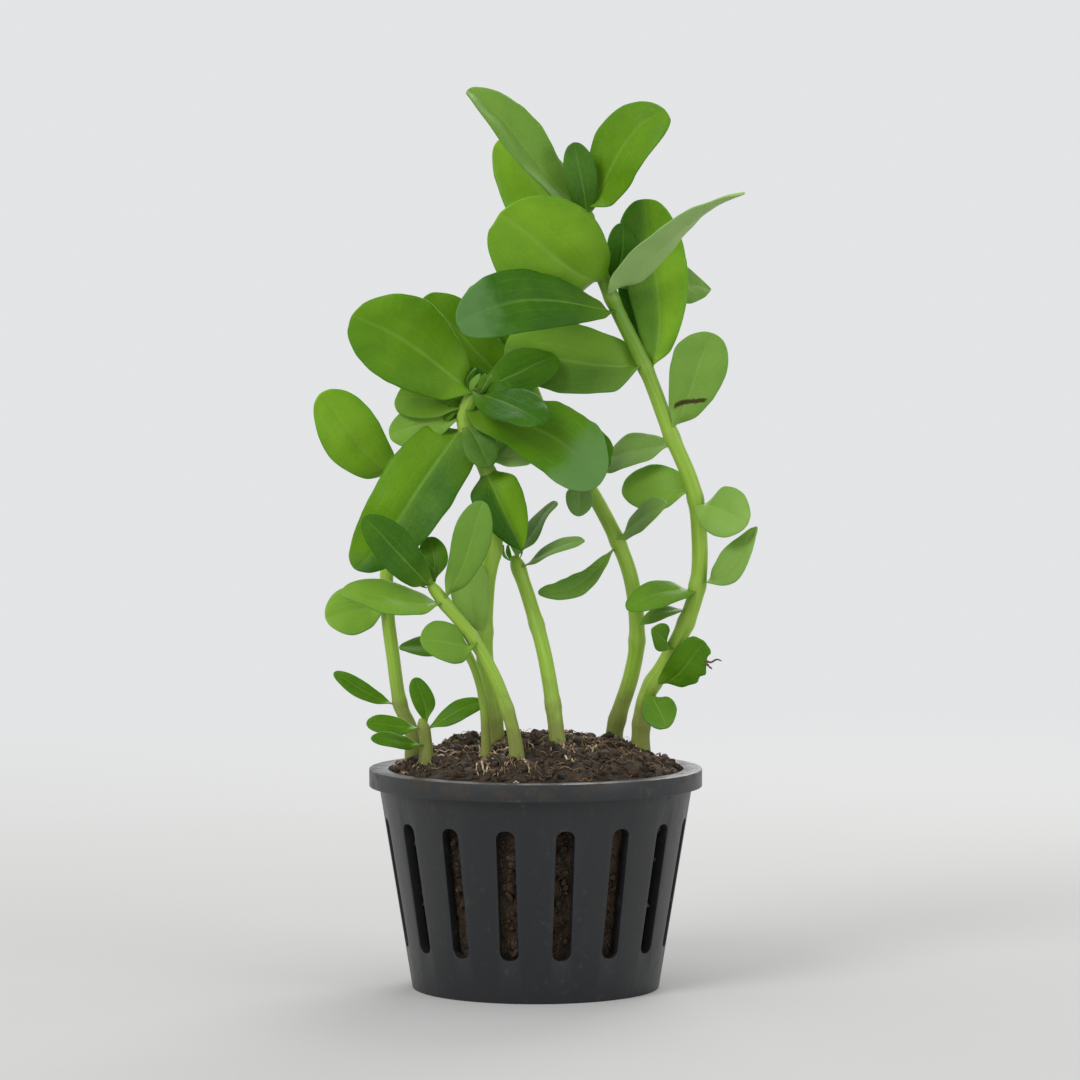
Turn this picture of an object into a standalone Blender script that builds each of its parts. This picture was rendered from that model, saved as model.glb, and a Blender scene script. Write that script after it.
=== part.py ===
"""Potted lemon bacopa: fleshy-leaved stems rooted in growing medium, in a slotted plastic net pot.

The origin is the centre of the pot's underside, +Z is up and the plant's front faces -Y.
The tables are in millimetres, and MM turns them into the scene's metres.
"""

import math
from collections import namedtuple

import bmesh
import bpy
from mathutils import Vector, geometry, noise

MM = 0.001
GAP = 0.4  # between two pieces that touch on the real plant
MERGE_DISTANCE = 0.01
CUTTER_ROOM = 1.0  # how far a cutter reaches out past what it cuts

# The pot
POT_HEIGHT = 30.6
RIM_RADIUS = 23.2
RIM_DEPTH = 2.4
MOUTH_RADIUS = 20.6
FOOT_RADIUS = 17.2
WALL = 1.2
FLOOR = 1.6
POT_SIDES = 32
WALL_SLOTS = 16
WALL_SLOT_WIDTH = 2.6
WALL_SLOT_LOW = 6.0
WALL_SLOT_HIGH = 24.0
FLOOR_SLOTS = 8
FLOOR_SLOT_WIDTH = 2.2
FLOOR_SLOT_INNER = 6.5
FLOOR_SLOT_OUTER = 13.5

# The growing medium, which rises in a low lumpy mound above the rim
MOUND_HEIGHT = 4.0
MOUND_EDGE_DROP = 0.6
MOUND_ROUNDNESS = 0.7  # 0.5 for a half round, and more for a flatter edge
MOUND_RINGS = (0.93, 0.8, 0.64, 0.48, 0.32, 0.16)  # each ring's radius, as a share of the mound's
LUMP_HEIGHT = 1.8
LUMP_SPACING = 5.0
ROOT_HEIGHT = 27.0  # at which every stem starts, inside the medium
POCKET_DEPTH = 14.0  # from a pocket's bottom to well above the mound
POCKET_SIDES = 10
POCKET_ROOM = 1.12  # a pocket's flat sides stand nearer to the stem than its corners

# The leaves
LEAF_THICKNESS = 0.6
TIP_WIDTH = 0.3  # share of a leaf's width that is left at its tip
SPREAD = 0.5  # how strongly a leaf starts straight out from its stem before it turns to its tip
FOLD_START = 0.25  # share of a leaf's length over which its fold sets in
TIP_CROWDING = 0.55  # how much closer together a leaf's rows of points stand towards its tip
LEAF_GRID = (6, 4)  # rows along and columns across
SMALL_LEAF_GRID = (5, 2)
SMALL_LEAF = 9.5  # a shorter leaf than this takes the small grid
LOW_LEAF = (40.0, (0.03, 0.1, 0.01))  # height and colour of the darkest leaves
HIGH_LEAF = (110.0, (0.1, 0.28, 0.02))  # height and colour of the brightest leaves

# The stems
STEM_COLOUR = (0.2, 0.33, 0.06)
STEM_ROUNDNESS = 2

# Each stem: radius at the foot, radius at the top, and the route of its axis (x, y, z) from inside the
# medium upwards
STEMS = {
    "stem_tall": (1.3, 1.0, [
        (14.7, 2.8, 27), (14.7, 2.8, 35), (15.5, 1.8, 40.5), (18.3, 0.4, 45.6), (20.9, 0, 50.8),
        (22.5, 0, 56), (22.8, 0, 62), (21.9, 0.4, 69.5), (18.6, 1.5, 77.6), (15.4, 2, 86),
        (11.2, 0.6, 94.6), (8.6, -0.6, 101), (7, -1, 108.4),
    ]),
    "stem_center": (1.25, 1.0, [
        (11.1, 6.5, 27), (11.1, 6.5, 35), (13.4, 5.6, 43), (14.2, 4.6, 48.5), (13.6, 4, 55.5),
        (11.9, 4, 61), (8.6, 4.4, 67.6), (4.6, 6, 74), (1, 7.6, 79.6), (-1, 8, 84.5),
    ]),
    "stem_rosette": (1.35, 1.1, [
        (-5.5, -5, 27), (-5.5, -5, 35), (-7, -5.4, 46), (-6.8, -5.6, 56), (-5.6, -6, 63),
        (-5.8, -6, 70), (-8.4, -6.4, 75.6), (-9.8, -7, 79.6), (-8.2, -7.6, 83.6),
    ]),
    "stem_short": (1.2, 1.0, [
        (3, -8, 27), (3, -8, 35), (1.4, -6, 46), (-0.8, -3.6, 54), (-3, -2.6, 60.4),
    ]),
    "stem_left": (1.0, 1.0, [
        (-17.2, 0, 27), (-17.2, 0, 35), (-18.9, 0.6, 39.5), (-19.9, 1.4, 46), (-20.7, 2, 52.6),
        (-20.7, 2.4, 60), (-19.6, 3, 67), (-19.2, 3, 71.6),
    ]),
    "stem_front": (1.0, 0.9, [
        (-2.7, -13, 27), (-2.7, -13, 35), (-5, -12.6, 43), (-8.6, -12.4, 49.6), (-12.4, -12.4, 54.4),
        (-14.6, -12.4, 57.4),
    ]),
    "stem_thin": (0.7, 0.6, [
        (-6.8, -10, 27), (-6.8, -10, 35), (-7.2, -10, 41), (-8.4, -10, 45.4), (-10, -9.8, 48.4),
    ]),
    "stem_basal": (0.9, 0.8, [
        (-15.1, -7.4, 27), (-15.1, -7.4, 34.6), (-15.8, -7.4, 38.2),
    ]),
}

# Each leaf: its name, which starts with its stem's, the height at which it leaves the stem, its tip
# (x, y, z), its width, and the direction that its upper side faces (degrees round from the front, positive
# to the right, and degrees above level). Then how far its middle stands up from a straight line (arch) and
# lies to one side of it (bend), how far its halves fold up from the midrib (fold, in degrees), where along
# its length it is widest (widest), its base's share of that width (base), how far it turns about its length
# from base to tip (twist, in degrees), and how pointed its tip is (point, 0.5 for an oval and more for a
# sharper tip)
Leaf = namedtuple(
    "Leaf", "name height tip width faces arch bend fold widest base twist point",
    defaults=(0.6, 0, 7, 0.52, 0.4, 0, 0.5),
)
LEAVES = [
    Leaf("tall_leaf_01", 108.2, (-9.5, -5, 124.4), 9.2, (38, 34), 1.3, 0.7, 17, point=0.45),
    Leaf("tall_leaf_02", 101.8, (-4.8, 7, 118.4), 10.7, (0, 25), arch=0.8, widest=0.45),
    Leaf("tall_leaf_03", 108.3, (17.9, -6, 121.7), 10.4, (-20, 30), 1.0, -2.1, widest=0.48, point=0.42),
    Leaf("tall_leaf_04", 108.0, (5.2, -4.4, 117.4), 4.9, (10, 10), arch=0.3),
    Leaf("tall_leaf_05", 98.6, (-4.9, -9, 107.6), 15.9, (0, -14), 2.4, 0.8, 9, 0.5, 0.42, point=0.38),
    Leaf("tall_leaf_06", 94.4, (-10.7, -18, 92.6), 9.5, (0, 15), 3.1, 2.1, 7, 0.66, 0.16, point=0.38),
    Leaf("tall_leaf_07", 96.8, (28.4, -14, 110.3), 8.5, (-145, 52), 1.9, 0, 10, 0.3, 0.6, -25, 0.8),
    Leaf("tall_leaf_08", 98.0, (25.0, 20.6, 97.2), 6.8, (45, 20), base=0.22, point=0.95),
    Leaf("tall_leaf_09", 86.0, (15.3, 3.9, 109.8), 9.4, (5, 5), 0.3, -0.3, 8, 0.62, 0.3, point=0.42),
    Leaf("tall_leaf_10", 86.8, (-4.4, 3, 88.8), 11.5, (0, 15), 1.0, 0, 22, 0.5, 0.5),
    Leaf("tall_leaf_11", 77.8, (24.8, 1.2, 91.1), 8.2, (10, 10), 0.4, -0.8, widest=0.64, base=0.3),
    Leaf("tall_leaf_12", 75.8, (9.5, 8, 72.7), 7.5, (0, 45), arch=0.8),
    Leaf("tall_leaf_13", 69.2, (12.3, 6, 69.7), 7.1, (0, 25), arch=0.8, widest=0.45, base=0.75),
    Leaf("tall_leaf_14", 67.2, (29.3, -6, 64.9), 7.5, (-10, 15), widest=0.5, base=0.65),
    Leaf("tall_leaf_15", 56.6, (30.7, -3, 64.5), 6.2, (-40, 30), 0.8, 2.0, 14, 0.46, 0.3, point=1.0),
    Leaf("tall_leaf_16", 55.2, (12.5, -6, 53.2), 4.8, (0, 40), arch=0.8, base=0.6),
    Leaf("tall_leaf_17", 52.4, (14.4, -2, 50.8), 2.8, (0, 50), arch=0.4, point=0.9),
    Leaf("tall_leaf_18", 47.4, (16.0, -5, 50.4), 4.0, (20, 10), arch=0.3, point=0.8),
    Leaf("tall_leaf_19", 42.8, (23.4, -2, 48.5), 5.6, (10, 0), arch=0.4, widest=0.6),
    Leaf("tall_leaf_20", 41.0, (18.2, -5, 36.6), 5.0, (0, 10), arch=0.5),
    Leaf("center_leaf_1", 84.5, (-8.9, 9.6, 97.8), 7.0, (0, 10), arch=0.8),
    Leaf("center_leaf_2", 82.8, (-15.7, 3, 96.0), 9.0, (0, 30), arch=1.0, base=0.3),
    Leaf("center_leaf_3", 72.4, (9.2, 1, 77.6), 7.5, (0, 10), arch=0.5),
    Leaf("center_leaf_4", 70.0, (5.8, -1, 65.8), 4.0, (0, 10), arch=0.4),
    Leaf("center_leaf_5", 62.4, (18.3, -6.2, 67.7), 5.3, (-30, 30), twist=12, point=0.9),
    Leaf("center_leaf_6", 61.4, (0.4, -1, 54.9), 3.5, (0, 30), bend=-2.3, widest=0.66, base=0.2),
    Leaf("rosette_leaf_1", 83.0, (-25.1, -11, 93.6), 12.8, (0, 15), arch=1.0, bend=0.9),
    Leaf("rosette_leaf_2", 80.8, (8.8, -15, 70.8), 11.6, (15, 30), 1.5, -1.6, 7, 0.55, 0.4, point=0.36),
    Leaf("rosette_leaf_3", 84.1, (2.9, 0.3, 87.7), 7.1, (0, 35), arch=0.8, base=0.22),
    Leaf("rosette_leaf_4", 83.2, (1.0, -19, 79.0), 7.6, (10, 36), arch=0.8, fold=4),
    Leaf("rosette_leaf_5", 78.0, (-24.8, -8.5, 58.8), 11.0, (0, 20), 1.5, -1.6, 14, 0.34, 0.72),
    Leaf("rosette_leaf_6", 80.6, (-19.3, -3, 82.3), 7.2, (0, 30)),
    Leaf("rosette_leaf_7", 78.5, (-6.3, -10.2, 72.8), 4.8, (0, 30), arch=0.4),
    Leaf("rosette_leaf_8", 72.0, (-1.9, -8, 61.4), 7.2, (10, -5), widest=0.26, base=0.85, point=0.8),
    Leaf("short_leaf_1", 60.4, (3, -1.5, 67.8), 5.8, (-55, 30), twist=20),
    Leaf("short_leaf_2", 58.6, (6.8, -6, 62.6), 5.0, (0, 65), point=0.7),
    Leaf("left_leaf_1", 71.2, (-29.9, -2, 82.8), 8.7, (0, 10), arch=0.8),
    Leaf("left_leaf_2", 70.8, (-12, 10, 76), 8.0, (0, 30), arch=0.8),
    Leaf("left_leaf_3", 53.0, (-29.2, -2, 51.6), 7.0, (0, 15), base=0.5),
    Leaf("left_leaf_4", 39.6, (-28.2, 1, 43.8), 2.6, (0, 30), arch=0.4, twist=20),
    Leaf("front_leaf_1", 57.2, (-23.3, -18.6, 66.4), 6.0, (0, 25), arch=0.8),
    Leaf("front_leaf_2", 57.0, (-14.4, -9, 63.3), 4.0, (0, 20), arch=0.4),
    Leaf("front_leaf_3", 54.6, (-26.4, -15, 56.0), 6.5, (0, 50), arch=0.8, base=0.5),
    Leaf("front_leaf_4", 54.8, (-7.1, -14, 68.4), 5.4, (0, 5), widest=0.6),
    Leaf("front_leaf_5", 48.9, (-15.6, -18, 49.7), 6.5, (0, 25), base=0.5),
    Leaf("thin_leaf", 48.2, (-18.8, -8, 48.0), 5.0, (0, 60), arch=0.5, point=0.7),
    Leaf("basal_leaf_1", 38.2, (-16.6, -7, 43.8), 3.2, (0, 5), arch=0.3),
    Leaf("basal_leaf_2", 37.0, (-23.3, -9, 37.6), 3.2, (0, 30), arch=0.4),
    Leaf("basal_leaf_3", 34.6, (-22.4, -13.4, 36.0), 2.6, (0, 30), arch=0.3),
    Leaf("basal_leaf_4", 36.6, (-7.0, -5.6, 40.4), 3.4, (0, 40), arch=0.9),
]


def clear_scene():
    for obj in list(bpy.data.objects):
        bpy.data.objects.remove(obj, do_unlink=True)


def new_collection(name):
    collection = bpy.data.collections.new(name)
    bpy.context.scene.collection.children.link(collection)
    return collection


def finish(name, colour, roughness):
    """A Principled material with the part's colour, roughness and metallic value."""
    material = bpy.data.materials.new(name)
    material.use_nodes = True
    shader = material.node_tree.nodes["Principled BSDF"]
    shader.inputs["Base Color"].default_value = (*colour, 1)
    shader.inputs["Roughness"].default_value = roughness
    shader.inputs["Metallic"].default_value = 0
    material.diffuse_color = (*colour, 1)
    return material


def mesh_object(name, bm, collection, material=None):
    mesh = bpy.data.meshes.new(name)
    bm.to_mesh(mesh)
    bm.free()
    obj = bpy.data.objects.new(name, mesh)
    collection.objects.link(obj)
    if material:
        mesh.materials.append(material)
    return obj


def smooth_route(points, steps=3):
    """Points along a smooth curve through the given ones (Catmull-Rom)."""
    ends = [points[0], *points, points[-1]]
    route = []
    for before, start, end, after in zip(ends, ends[1:], ends[2:], ends[3:]):
        p0, p1, p2, p3 = (Vector(p) for p in (before, start, end, after))
        for step in range(steps):
            t = step / steps
            bend = (2 * p0 - 5 * p1 + 4 * p2 - p3) * t ** 2 + (3 * p1 - p0 - 3 * p2 + p3) * t ** 3
            route.append(p1 + ((p2 - p0) * t + bend) / 2)
    route.append(Vector(points[-1]))
    return route


ROUTES = {name: smooth_route(points) for name, (_, _, points) in STEMS.items()}


def stem_radius(low, high, route, height):
    share = (height - route[0].z) / (route[-1].z - route[0].z)
    return low + (high - low) * share


def on_stem(name, height):
    """The stem's axis, its direction and its radius at a height."""
    low, high, _ = STEMS[name]
    route = ROUTES[name]
    for start, end in zip(route, route[1:]):
        if end.z >= height or end is route[-1]:
            share = min(1, (height - start.z) / (end.z - start.z))
            return start.lerp(end, share), (end - start).normalized(), stem_radius(low, high, route, height)


def make_stem(name, collection, material):
    low, high, points = STEMS[name]
    route = smooth_route(points, 2)
    curve = bpy.data.curves.new(name, "CURVE")
    curve.dimensions = "3D"
    curve.bevel_depth = MM
    curve.bevel_resolution = STEM_ROUNDNESS
    curve.use_fill_caps = True
    spline = curve.splines.new("POLY")
    spline.points.add(len(route) - 1)
    for point, place in zip(spline.points, route):
        point.co = (*(place * MM), 1)
        point.radius = stem_radius(low, high, route, place.z)
    curve.materials.append(material)
    obj = bpy.data.objects.new(name, curve)
    collection.objects.link(obj)


def clear_of_stems(place):
    """The place, moved straight away from the axis of any stem that a leaf would come too close to there."""
    for name, route in ROUTES.items():
        low, high, _ = STEMS[name]
        for start, end in zip(route, route[1:]):
            nearest, share = geometry.intersect_point_line(place, start, end)
            nearest = start.lerp(end, min(1, max(0, share)))
            away = place - nearest
            least = stem_radius(low, high, route, nearest.z) + GAP + LEAF_THICKNESS / 2
            if away.length < least:
                place = nearest + away.normalized() * least
    return place


def half_width(leaf, t):
    """The leaf's half width at t of its length, as a share of its widest: an oval, narrow at the stem."""
    if t < leaf.widest:
        return leaf.base + (1 - leaf.base) * math.sin(math.pi / 2 * t / leaf.widest)
    past = (t - leaf.widest) / (1 - leaf.widest)
    return max(TIP_WIDTH, max(0, 1 - past ** 2) ** leaf.point)


def stem_of(leaf):
    return "stem_" + leaf.name.split("_leaf")[0]


def make_leaf(leaf, collection, material):
    axis, along, radius = on_stem(stem_of(leaf), leaf.height)
    tip = Vector(leaf.tip)
    outward = ((tip - axis) - (tip - axis).dot(along) * along).normalized()
    base = axis + outward * (radius + GAP)
    chord = tip - base
    turned, raised = (math.radians(angle) for angle in leaf.faces)
    level = math.cos(raised)
    upper = Vector((math.sin(turned) * level, -math.cos(turned) * level, math.sin(raised)))
    side_at_base = chord.cross(upper).normalized()
    upper_at_base = side_at_base.cross(chord).normalized()
    rows, columns = SMALL_LEAF_GRID if chord.length < SMALL_LEAF else LEAF_GRID
    bm = bmesh.new()
    bmesh.ops.create_grid(bm, x_segments=rows, y_segments=columns, size=1)
    for vert in bm.verts:
        row = (vert.co.x + 1) / 2
        t = (1 - TIP_CROWDING) * row + TIP_CROWDING * math.sin(math.pi / 2 * row)
        turn = math.radians(leaf.twist) * t
        side = side_at_base * math.cos(turn) + upper_at_base * math.sin(turn)
        upper = upper_at_base * math.cos(turn) - side_at_base * math.sin(turn)
        across = vert.co.y * half_width(leaf, t) * leaf.width / 2
        slope = math.radians(leaf.fold) * min(1, t / FOLD_START)
        lift = 4 * leaf.arch * t * (1 - t) + abs(across) * math.sin(slope)
        sideways = 4 * leaf.bend * t * (1 - t) + across * math.cos(slope)
        spread = SPREAD * chord.length * t * (1 - t) ** 2
        vert.co = clear_of_stems(base + chord * t + outward * spread + side * sideways + upper * lift) * MM
    bmesh.ops.recalc_face_normals(bm, faces=bm.faces)
    obj = mesh_object(leaf.name, bm, collection, material)
    shell = obj.modifiers.new("Thickness", "SOLIDIFY")
    shell.thickness = LEAF_THICKNESS * MM
    shell.offset = 0
    obj.data.shade_smooth()


def cutter_box(bm, inner, outer, width, angle, low, high):
    """A box that reaches from an inner to an outer radius, turned to an angle about the pot's axis."""
    made = bmesh.ops.create_cube(bm, size=1)
    turn = math.radians(angle)
    for vert in made["verts"]:
        x = (inner + outer) / 2 + vert.co.x * (outer - inner)
        y = vert.co.y * width
        z = (low + high) / 2 + vert.co.z * (high - low)
        right = x * math.cos(turn) - y * math.sin(turn)
        back = x * math.sin(turn) + y * math.cos(turn)
        vert.co = Vector((right, back, z)) * MM


def cut_with(obj, bm, name, cutters):
    cutter = mesh_object(name, bm, cutters)
    cutter.hide_render = True
    cutter.display_type = "WIRE"
    cut = obj.modifiers.new(name, "BOOLEAN")
    cut.operation = "DIFFERENCE"
    cut.object = cutter


def make_pot(collection, cutters):
    profile = [
        (0, FLOOR), (FOOT_RADIUS - WALL, FLOOR), (MOUTH_RADIUS, POT_HEIGHT), (RIM_RADIUS, POT_HEIGHT),
        (RIM_RADIUS, POT_HEIGHT - RIM_DEPTH), (MOUTH_RADIUS + WALL, POT_HEIGHT - RIM_DEPTH),
        (FOOT_RADIUS, 0), (0, 0),
    ]
    bm = bmesh.new()
    verts = [bm.verts.new((r * MM, 0, z * MM)) for r, z in profile]
    for start, end in zip(verts, verts[1:]):
        bm.edges.new((start, end))
    pot = mesh_object("pot", bm, collection, finish("pot_plastic", (0.02, 0.022, 0.026), 0.45))
    turned = pot.modifiers.new("Turned", "SCREW")
    turned.steps = turned.render_steps = POT_SIDES
    turned.use_merge_vertices = True
    turned.merge_threshold = MERGE_DISTANCE * MM
    turned.use_smooth_shade = False
    bm = bmesh.new()
    inner = FOOT_RADIUS - WALL - CUTTER_ROOM
    outer = MOUTH_RADIUS + WALL + CUTTER_ROOM
    for slot in range(WALL_SLOTS):
        angle = (slot + 0.5) * 360 / WALL_SLOTS
        cutter_box(bm, inner, outer, WALL_SLOT_WIDTH, angle, WALL_SLOT_LOW, WALL_SLOT_HIGH)
    for slot in range(FLOOR_SLOTS):
        angle = slot * 360 / FLOOR_SLOTS
        low, high = -CUTTER_ROOM, FLOOR + CUTTER_ROOM
        cutter_box(bm, FLOOR_SLOT_INNER, FLOOR_SLOT_OUTER, FLOOR_SLOT_WIDTH, angle, low, high)
    cut_with(pot, bm, "pot_slots", cutters)


def make_medium(collection, cutters):
    """A plug in the pot with a lumpy mound on top, and a pocket for the foot of each stem."""
    low = FLOOR + GAP
    taper = (MOUTH_RADIUS - FOOT_RADIUS + WALL) / (POT_HEIGHT - FLOOR)
    foot = FOOT_RADIUS - WALL + taper * GAP - GAP
    mouth = MOUTH_RADIUS - taper * MOUND_EDGE_DROP - GAP
    edge = POT_HEIGHT - MOUND_EDGE_DROP
    rings = [(foot, low), (mouth, edge)]
    rise = MOUND_HEIGHT + MOUND_EDGE_DROP
    for share in MOUND_RINGS:
        rings.append((mouth * share, edge + rise * (1 - share ** 2) ** MOUND_ROUNDNESS))
    bm = bmesh.new()
    bmesh.ops.create_uvsphere(bm, u_segments=POT_SIDES, v_segments=len(rings) + 1, radius=1)
    for vert in bm.verts:
        ring = round(math.acos(max(-1, min(1, -vert.co.z))) / math.pi * (len(rings) + 1))
        angle = math.atan2(vert.co.y, vert.co.x)
        radius, z = 0, low if ring == 0 else edge + rise
        if 0 < ring <= len(rings):
            radius, z = rings[ring - 1]
        place = Vector((radius * math.cos(angle), radius * math.sin(angle), z))
        if ring > 2:
            place.z += LUMP_HEIGHT * noise.noise(place / LUMP_SPACING)
        vert.co = place * MM
    brown = finish("medium_brown", (0.045, 0.03, 0.018), 0.95)
    medium = mesh_object("growing_medium", bm, collection, brown)
    medium.data.shade_smooth()
    bm = bmesh.new()
    for radius, _, points in STEMS.values():
        pocket = {"segments": POCKET_SIDES, "radius1": 1, "radius2": 1, "depth": 1, "cap_ends": True}
        hole = bmesh.ops.create_cone(bm, **pocket)
        x, y, _ = points[0]
        around = (radius + GAP) * POCKET_ROOM
        for vert in hole["verts"]:
            z = ROOT_HEIGHT - GAP + (vert.co.z + 0.5) * POCKET_DEPTH
            vert.co = Vector((x + vert.co.x * around, y + vert.co.y * around, z)) * MM
    cut_with(medium, bm, "stem_pockets", cutters)


def leaf_colour(height):
    """Leaves are brighter and yellower towards the top of the plant."""
    (low, dark), (high, bright) = LOW_LEAF, HIGH_LEAF
    share = min(1, max(0, (height - low) / (high - low)))
    return tuple(Vector(dark).lerp(Vector(bright), share))


def main():
    clear_scene()
    collection = new_collection("potted_lemon_bacopa")
    cutters = new_collection("cutters")
    make_pot(collection, cutters)
    make_medium(collection, cutters)
    for name in STEMS:
        make_stem(name, collection, finish(name, STEM_COLOUR, 0.45))
    for leaf in LEAVES:
        make_leaf(leaf, collection, finish(leaf.name, leaf_colour(leaf.height), 0.4))


main()
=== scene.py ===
import math
import random
from collections import namedtuple

import bpy
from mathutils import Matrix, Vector, geometry, noise


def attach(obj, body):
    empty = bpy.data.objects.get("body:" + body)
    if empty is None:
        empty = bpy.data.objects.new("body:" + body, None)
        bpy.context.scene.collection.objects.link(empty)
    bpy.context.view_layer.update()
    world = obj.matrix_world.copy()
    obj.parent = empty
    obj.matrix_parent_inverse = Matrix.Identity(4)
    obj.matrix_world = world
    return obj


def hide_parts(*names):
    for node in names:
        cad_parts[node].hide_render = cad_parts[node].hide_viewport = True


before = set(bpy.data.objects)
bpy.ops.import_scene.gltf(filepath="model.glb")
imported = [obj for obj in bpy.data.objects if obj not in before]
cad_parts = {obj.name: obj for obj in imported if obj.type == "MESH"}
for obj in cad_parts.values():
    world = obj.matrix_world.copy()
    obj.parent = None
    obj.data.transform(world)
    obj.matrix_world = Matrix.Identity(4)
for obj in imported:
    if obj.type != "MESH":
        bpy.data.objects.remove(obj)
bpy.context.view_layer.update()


# Camera, light and floor. The camera stands level with the plant's upper leaves and looks slightly down. A
# large soft light stands at the upper left, a weaker one at the right, and one behind the plant shines
# through its leaves. The floor is plain pale board that fades out into the room.
MM = 0.001  # one millimetre, in which the sizes below are given
CAMERA_PLACE = Vector((1, -650, 96)) * MM
CAMERA_TARGET = Vector((0.6, 0, 62.4)) * MM
CAMERA_LENS = 156
CAMERA_NEAR = 10 * MM
LIT_POINT = Vector((0, 0, 65)) * MM
ROOM_COLOUR = (0.94, 0.95, 0.96, 1)
ROOM_BRIGHTNESS = 0.82
BOARD_RADIUS = 2000
BOARD_SOLID = 80  # radius up to which the board is solid
BOARD_GONE = 460  # radius at which it has faded out


def aim(obj, target):
    obj.rotation_euler = (target - obj.location).to_track_quat("-Z", "Y").to_euler()


def soft_light(name, place, size, power, colour):
    bpy.ops.object.light_add(type="AREA", location=Vector(place) * MM)
    light = bpy.context.object
    light.name = name
    light.data.shape = "DISK"
    light.data.size = size * MM
    light.data.energy = power
    light.data.color = colour
    aim(light, LIT_POINT)


class Wire:
    """A socket in a finish's nodes. It combines with numbers and sockets, and each operator adds a node."""

    def __init__(self, finish, socket):
        self.finish = finish
        self.socket = socket

    def other(self, output):
        """Another output of the same node."""
        return Wire(self.finish, self.socket.node.outputs[output])

    def between(self, low, high):
        """0 up to low, 1 from high, and a smooth rise between them, or a fall where low is above high."""
        settings = {"interpolation_type": "SMOOTHSTEP", "clamp": True}
        sockets = {"Value": self, "From Min": low, "From Max": high}
        return self.finish.node("MapRange", settings, sockets)

    def math(self, operation, *values):
        return self.finish.node("Math", {"operation": operation}, dict(enumerate(values)))

    def __add__(self, other):
        return self.math("ADD", self, other)

    def __sub__(self, other):
        return self.math("SUBTRACT", self, other)

    def __rsub__(self, other):
        return self.math("SUBTRACT", other, self)

    def __mul__(self, other):
        return self.math("MULTIPLY", self, other)

    def __abs__(self):
        return self.math("ABSOLUTE", self)

    def __or__(self, other):
        return self.math("MAXIMUM", self, other)

    __radd__ = __add__
    __rmul__ = __mul__
    __ror__ = __or__


class Finish:
    """A material made of nodes around one Principled shader."""

    def __init__(self, name, **constants):
        self.material = bpy.data.materials.new(name)
        self.material.use_nodes = True
        self.tree = self.material.node_tree
        self.shader = self.tree.nodes["Principled BSDF"]
        self.set(self.shader, {key.replace("_", " "): value for key, value in constants.items()})

    def set(self, node, sockets):
        for key, value in sockets.items():
            socket = node.inputs[key]
            if isinstance(value, Wire):
                self.tree.links.new(value.socket, socket)
            elif isinstance(value, tuple) and len(socket.default_value) == 4:
                socket.default_value = (*value, 1)
            else:
                socket.default_value = value

    def node(self, kind, settings, sockets, output=0):
        """A node of this kind, with its settings made first and then its sockets, as the given output."""
        node = self.tree.nodes.new("ShaderNode" + kind)
        for key, value in settings.items():
            setattr(node, key, value)
        self.set(node, sockets)
        return Wire(self, node.outputs[output])

    def mix(self, share, first, second):
        """Two colours mixed. Sockets 0, 6 and 7 are the share and the colours, and output 2 the result."""
        return self.node("Mix", {"data_type": "RGBA"}, {0: share, 6: first, 7: second}, 2)

    def paint(self, colour, *coats):
        """The colour under coats, each given as its share and its own colour."""
        for share, coat in coats:
            colour = self.mix(share, colour, coat)
        return colour

    def place(self, scale=(1, 1, 1)):
        """The point's place in the object, in millimetres, stretched by the scale."""
        point = self.node("TexCoord", {}, {}, "Object")
        sockets = {"Vector": point, "Scale": tuple(side / MM for side in scale)}
        return self.node("Mapping", {}, sockets)

    def noise(self, size, detail=3, rough=0.55, stretch=(1, 1, 1)):
        """Cloudy noise from 0 to 1, whose lumps are about this many millimetres wide."""
        sockets = {"Vector": self.place(stretch), "Scale": 1 / size, "Detail": detail, "Roughness": rough}
        return self.node("TexNoise", {}, sockets)

    def cells(self, size):
        """The distance to the edge of a cell, for cells about this many millimetres wide."""
        sockets = {"Vector": self.place(), "Scale": 1 / size}
        return self.node("TexVoronoi", {"feature": "DISTANCE_TO_EDGE"}, sockets)

    def relief(self, height, depth, under=None):
        """A bump of this depth in millimetres, on top of the one under it."""
        sockets = {"Height": height, "Distance": depth * MM}
        if under:
            sockets["Normal"] = under
        return self.node("Bump", {}, sockets)

    def show(self, **sockets):
        self.set(self.shader, {key.replace("_", " "): value for key, value in sockets.items()})
        return self.material


bpy.ops.object.select_all(action="DESELECT")
bpy.ops.object.camera_add(location=CAMERA_PLACE)
camera = bpy.context.object
camera.data.lens = CAMERA_LENS
camera.data.clip_start = CAMERA_NEAR
aim(camera, CAMERA_TARGET)
bpy.context.scene.camera = camera
bpy.context.scene.view_settings.view_transform = "Standard"

soft_light("light_upper_left", (-420, -560, 520), size=380, power=3.4, colour=(1, 0.985, 0.96))
soft_light("light_right", (560, -420, 240), size=300, power=0.8, colour=(0.94, 0.97, 1))
soft_light("light_behind", (160, 520, 420), size=420, power=2.4, colour=(1, 0.99, 0.95))
world = bpy.data.worlds.new("pale_room")
world.use_nodes = True
room = world.node_tree.nodes["Background"]
room.inputs["Color"].default_value = ROOM_COLOUR
room.inputs["Strength"].default_value = ROOM_BRIGHTNESS
bpy.context.scene.world = world

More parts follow.
